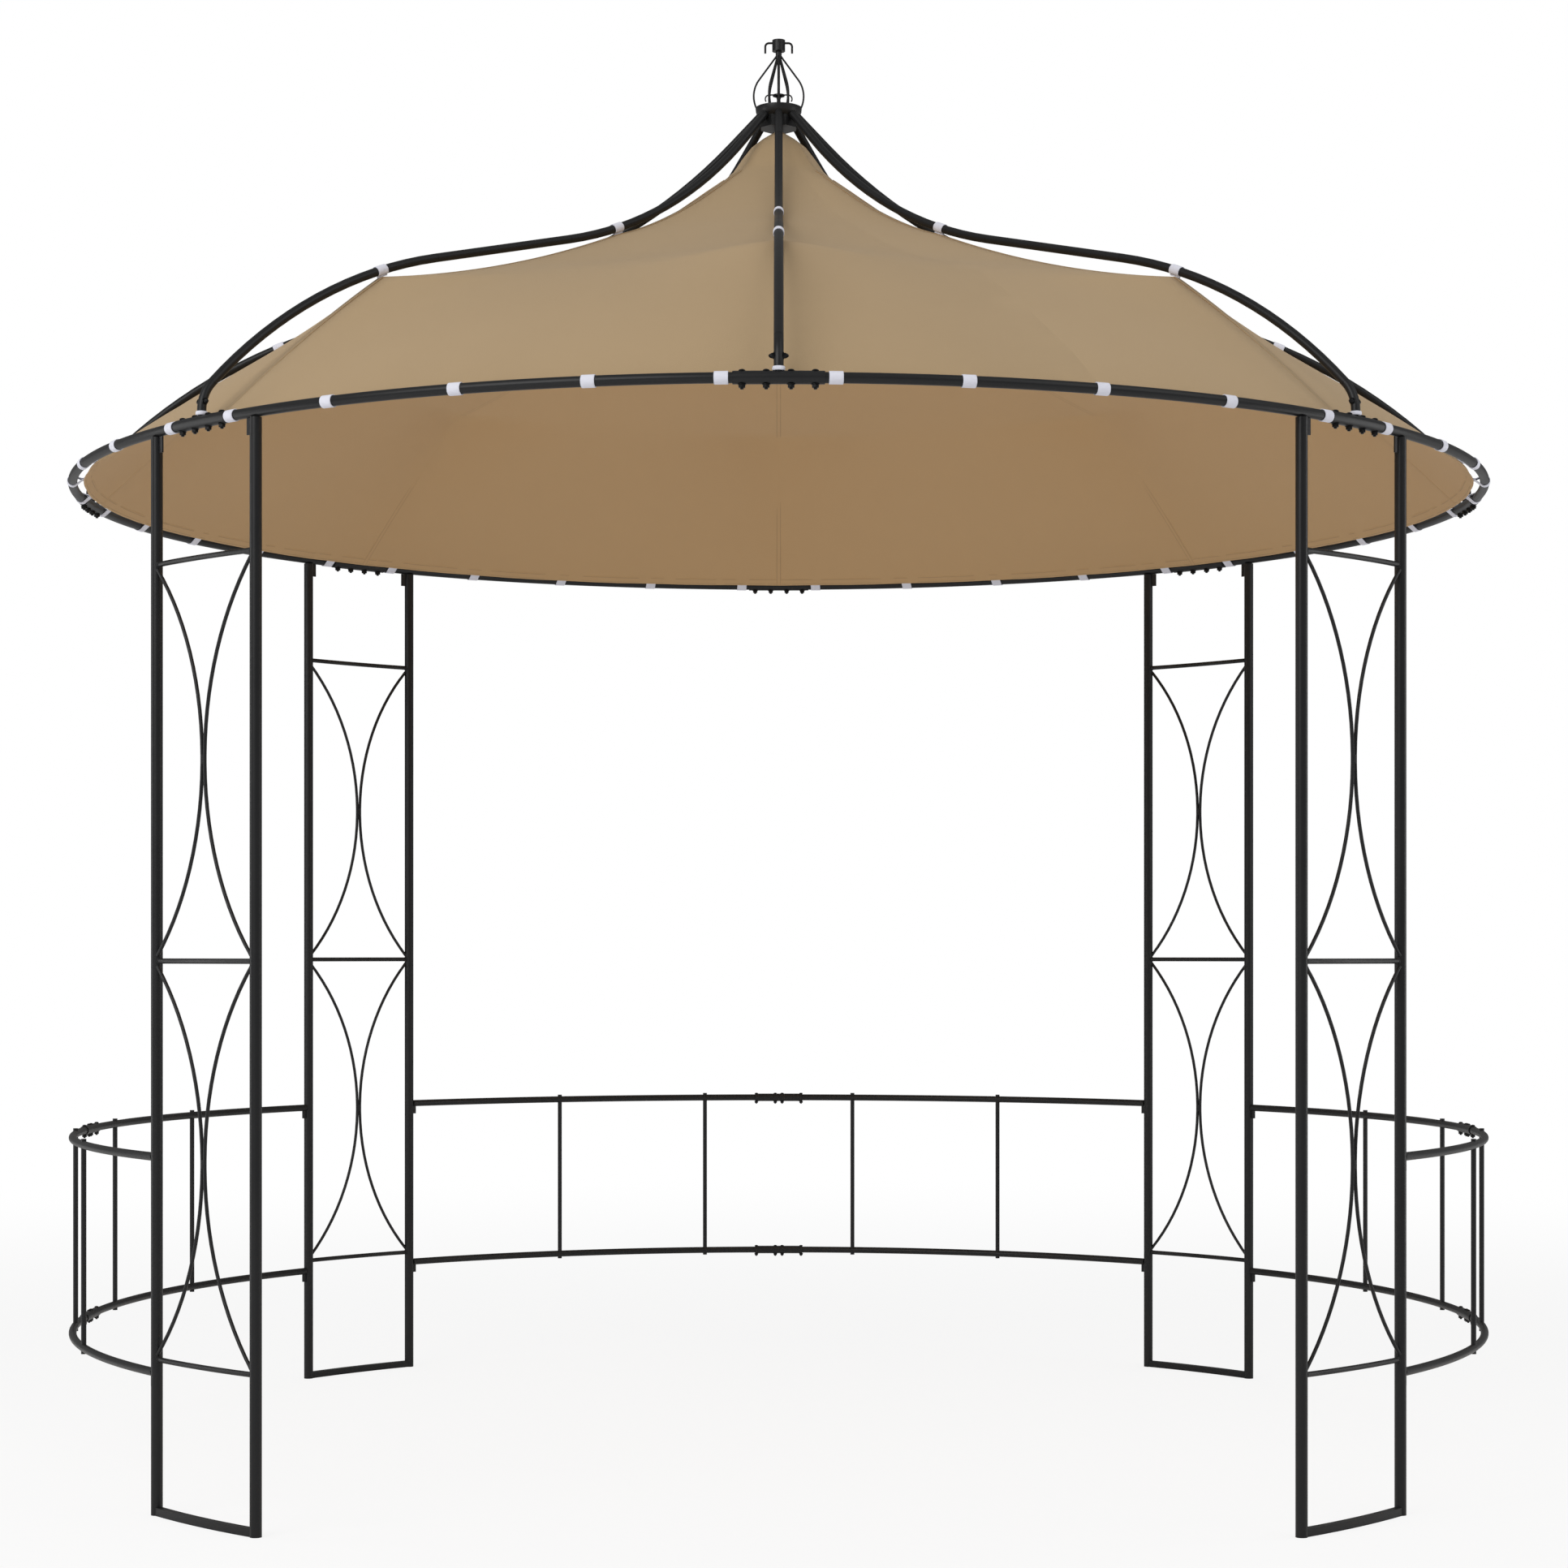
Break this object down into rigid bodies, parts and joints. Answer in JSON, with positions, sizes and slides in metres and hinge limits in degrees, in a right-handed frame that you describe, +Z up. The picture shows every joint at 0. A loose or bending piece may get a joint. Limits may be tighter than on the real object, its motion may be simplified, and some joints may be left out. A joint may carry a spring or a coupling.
{
  "type": "round garden gazebo",
  "caption": "Round garden gazebo with a slender steel frame, lattice columns, low fences on the closed sides and a pointed cloth roof tied under curved ribs.",
  "frame": {"origin": "on the ground at the centre of the round plan", "axes": "+Z up, -Y towards the open front, +X to the right of someone looking in from the front"},
  "size_m": [3.003, 3.003, 3.022],
  "materials": {
    "frame": "satin",
    "cloth": "matte",
    "webbing": "matte"
  },
  "bodies": {
    "root": {"column_front_right": "frame", "column_back_right": "frame", "column_back_left": "frame", "column_front_left": "frame", "ring_bar_1": "frame", "ring_bar_2": "frame", "ring_bar_3": "frame", "ring_bar_4": "frame", "ring_bar_5": "frame", "ring_bar_6": "frame", "ring_bar_7": "frame", "ring_bar_8": "frame", "ring_sleeve_1": "frame", "ring_sleeve_2": "frame", "ring_sleeve_3": "frame", "ring_sleeve_4": "frame", "ring_sleeve_5": "frame", "ring_sleeve_6": "frame", "ring_sleeve_7": "frame", "ring_sleeve_8": "frame", "rib_1": "frame", "rib_2": "frame", "rib_3": "frame", "rib_4": "frame", "rib_5": "frame", "rib_6": "frame", "rib_7": "frame", "rib_8": "frame", "fence_right_front": "frame", "fence_right_back": "frame", "fence_back_right": "frame", "fence_back_left": "frame", "fence_left_back": "frame", "fence_left_front": "frame", "fence_sleeves_right": "frame", "fence_sleeves_back": "frame", "fence_sleeves_left": "frame", "hub": "frame", "finial_spindle": "frame", "finial_cage": "frame", "finial_cap": "frame", "canopy": "cloth", "ring_loops": "webbing", "rib_loops": "webbing"}
  },
  "joints": []
}
